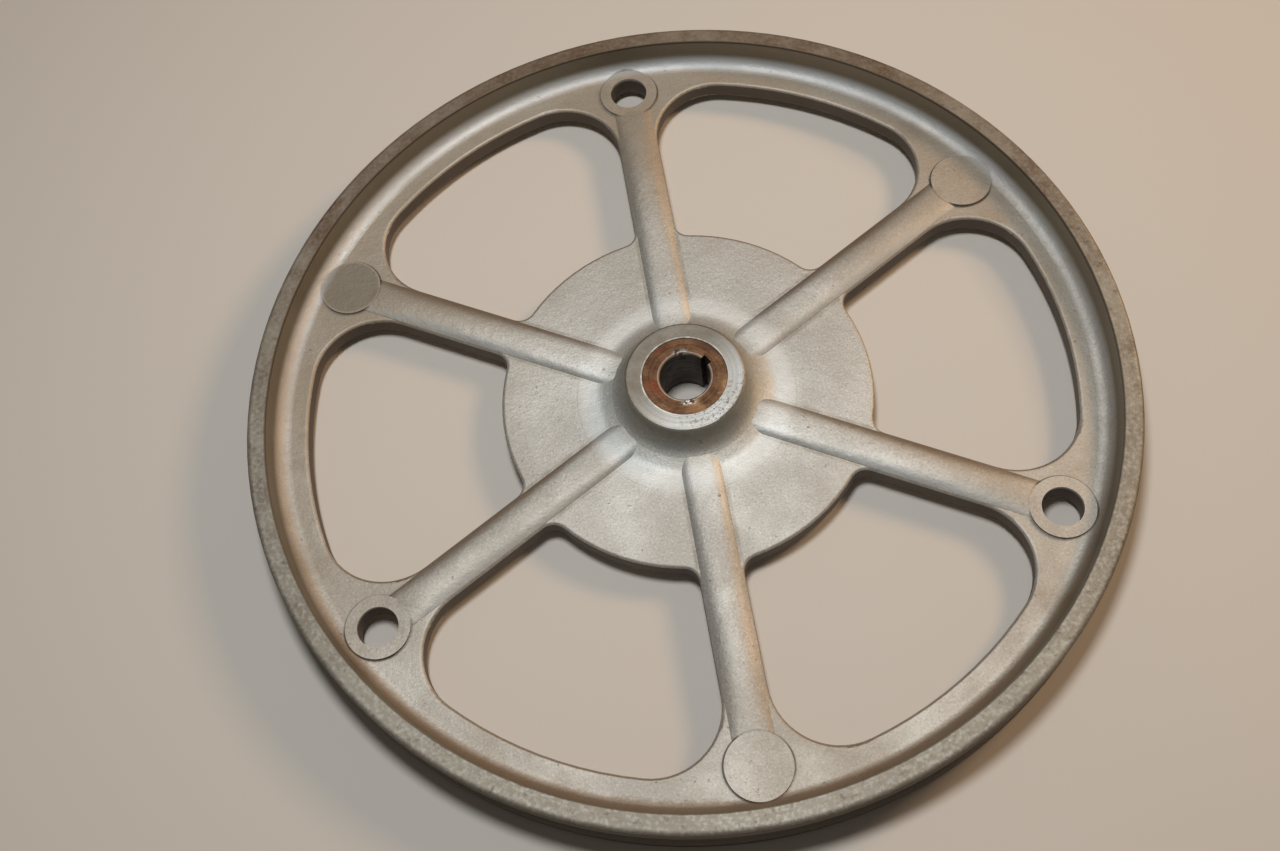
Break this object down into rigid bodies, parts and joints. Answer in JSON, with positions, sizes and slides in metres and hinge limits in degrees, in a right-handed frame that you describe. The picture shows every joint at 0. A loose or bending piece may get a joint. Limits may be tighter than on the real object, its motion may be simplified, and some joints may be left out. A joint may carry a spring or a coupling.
{
  "type": "v belt pulley",
  "caption": "Cast aluminium V belt pulley with round spokes, a flat centre disc, a keyed steel bush in the hub and drilled and blank bosses at the rim.",
  "frame": {"origin": "on the bore axis, in the middle plane of the belt groove", "axes": "+Z along the bore axis towards the front of the hub; +Y towards one of the drilled bosses"},
  "size_m": [0.2794, 0.2794, 0.0206],
  "materials": {
    "cast_aluminium": "as-cast, dull and slightly grainy, with soiling in the corners",
    "bush_steel": "turned steel with a film of brown rust"
  },
  "bodies": {
    "root": {"pulley_casting": "cast_aluminium", "hub_bush": "bush_steel"}
  },
  "joints": []
}
